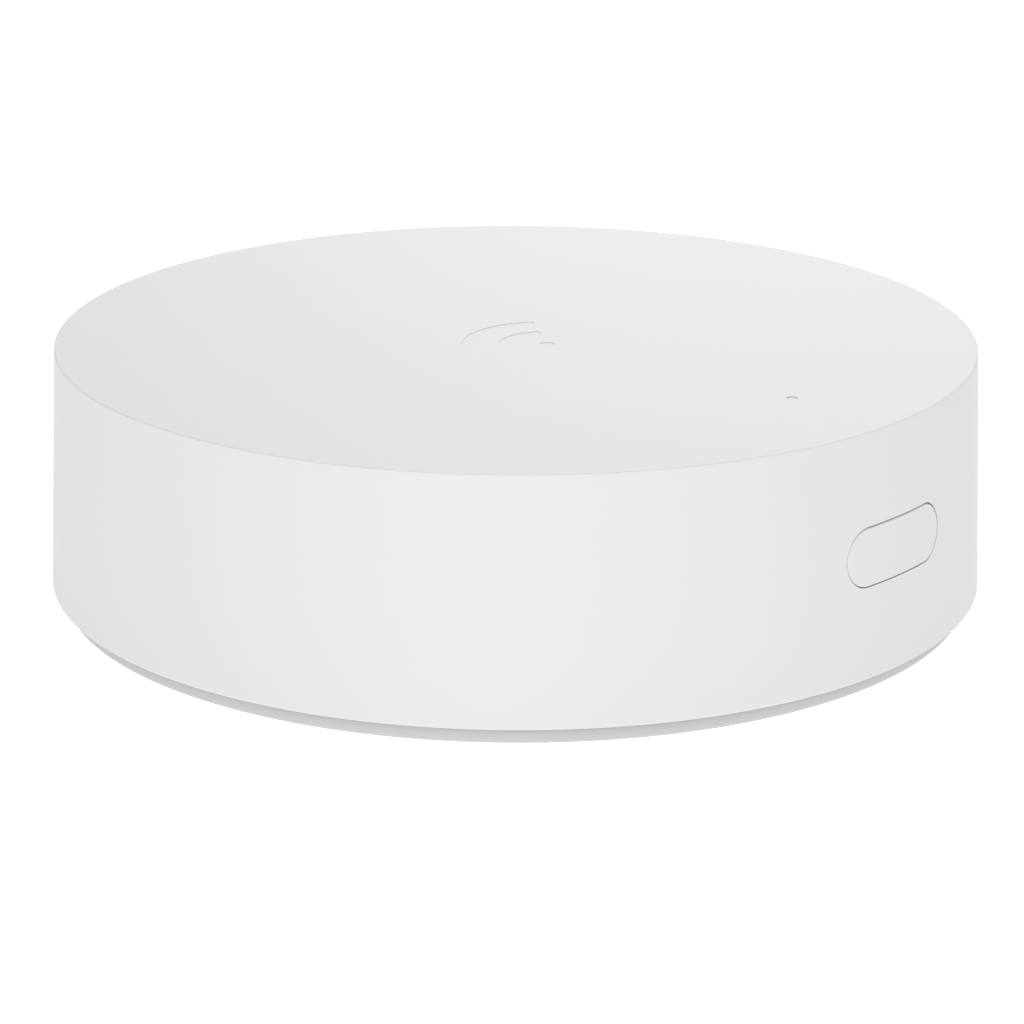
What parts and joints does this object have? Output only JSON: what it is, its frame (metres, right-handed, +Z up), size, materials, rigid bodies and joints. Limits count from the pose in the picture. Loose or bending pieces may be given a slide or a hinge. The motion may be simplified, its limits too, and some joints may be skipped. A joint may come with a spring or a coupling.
{
  "type": "smart home hub",
  "caption": "Low round white smart home hub with a side push button, a small status light in its flat top, a rear power socket and a rubber foot ring.",
  "frame": {"origin": "centre of the foot ring's lower face, on the table", "axes": "+Z up; -Y towards the button and status light; +Y towards the power socket; +X to the right seen from the button"},
  "size_m": [0.0938, 0.0938, 0.0267],
  "materials": {
    "shell_plastic": "satin moulded white",
    "base_plastic": "satin moulded white",
    "button_plastic": "satin moulded white",
    "foot_rubber": "matt moulded grey",
    "label_film": "matt printed film, blank",
    "screw_steel": "zinc plated",
    "board_laminate": "green solder mask on glass laminate",
    "antenna_laminate": "black solder mask with copper under it",
    "chip_epoxy": "moulded epoxy",
    "inductor_ferrite": "dull ferrite",
    "can_aluminium": "drawn can",
    "passive_ceramic": "fired ceramic with tinned ends",
    "tile_ceramic": "fired ceramic",
    "shield_tin": "tin plated sheet",
    "silicone_pad": "soft filled silicone",
    "spreader_aluminium": "brushed plate",
    "contact_gold": "gold plated",
    "lead_jacket": "smooth extruded jacket",
    "socket_steel": "nickel plated sheet",
    "socket_plastic": "moulded black",
    "spring_steel": "rolled strip",
    "plunger_plastic": "moulded red",
    "light_package": "clear resin on a white base",
    "shroud_foam": "closed-cell foam",
    "clear_acrylic": "polished clear acrylic"
  },
  "bodies": {
    "housing": {"top_housing": "shell_plastic", "base_cover": "base_plastic", "foot_ring": "foot_rubber", "rating_label": "label_film", "case_screws": "screw_steel", "board_screws": "screw_steel", "spreader_screws": "screw_steel", "main_board": "board_laminate", "left_antenna": "antenna_laminate", "right_antenna": "antenna_laminate", "processor_chip": "chip_epoxy", "memory_chip": "chip_epoxy", "flash_chip": "chip_epoxy", "radio_chip": "chip_epoxy", "power_inductors": "inductor_ferrite", "can_capacitors": "can_aluminium", "crystals": "shield_tin", "small_passives": "passive_ceramic", "ceramic_antenna": "tile_ceramic", "shield_frame": "shield_tin", "shield_lid": "shield_tin", "thermal_pad": "silicone_pad", "lower_thermal_pad": "silicone_pad", "heat_spreader": "spreader_aluminium", "antenna_connectors": "contact_gold", "left_antenna_lead": "lead_jacket", "right_antenna_lead": "lead_jacket", "power_socket_shell": "socket_steel", "power_socket_tongue": "socket_plastic", "power_socket_contacts": "contact_gold", "button_spring": "spring_steel", "switch_base": "socket_plastic", "switch_cover": "shield_tin", "switch_dome": "spring_steel", "status_led": "light_package", "light_shroud": "shroud_foam", "light_pipe": "clear_acrylic"},
    "button": {"button_cap": "button_plastic"},
    "plunger": {"switch_plunger": "plunger_plastic"}
  },
  "joints": [
    {"name": "button_press", "type": "slide", "parent": "housing", "child": "button", "axis": [0, 1, 0], "range_m": [0, 0.00035], "stiffness_N_per_m": 3000, "deforming": ["button_spring", "switch_dome"]},
    {"name": "plunger_travel", "type": "slide", "parent": "housing", "child": "plunger", "axis": [0, 1, 0], "range_m": [0, 0.00035], "deforming": ["switch_dome"]}
  ],
  "couplings": [
    {"joint": "plunger_travel", "follows": "button_press", "ratio": 1}
  ]
}
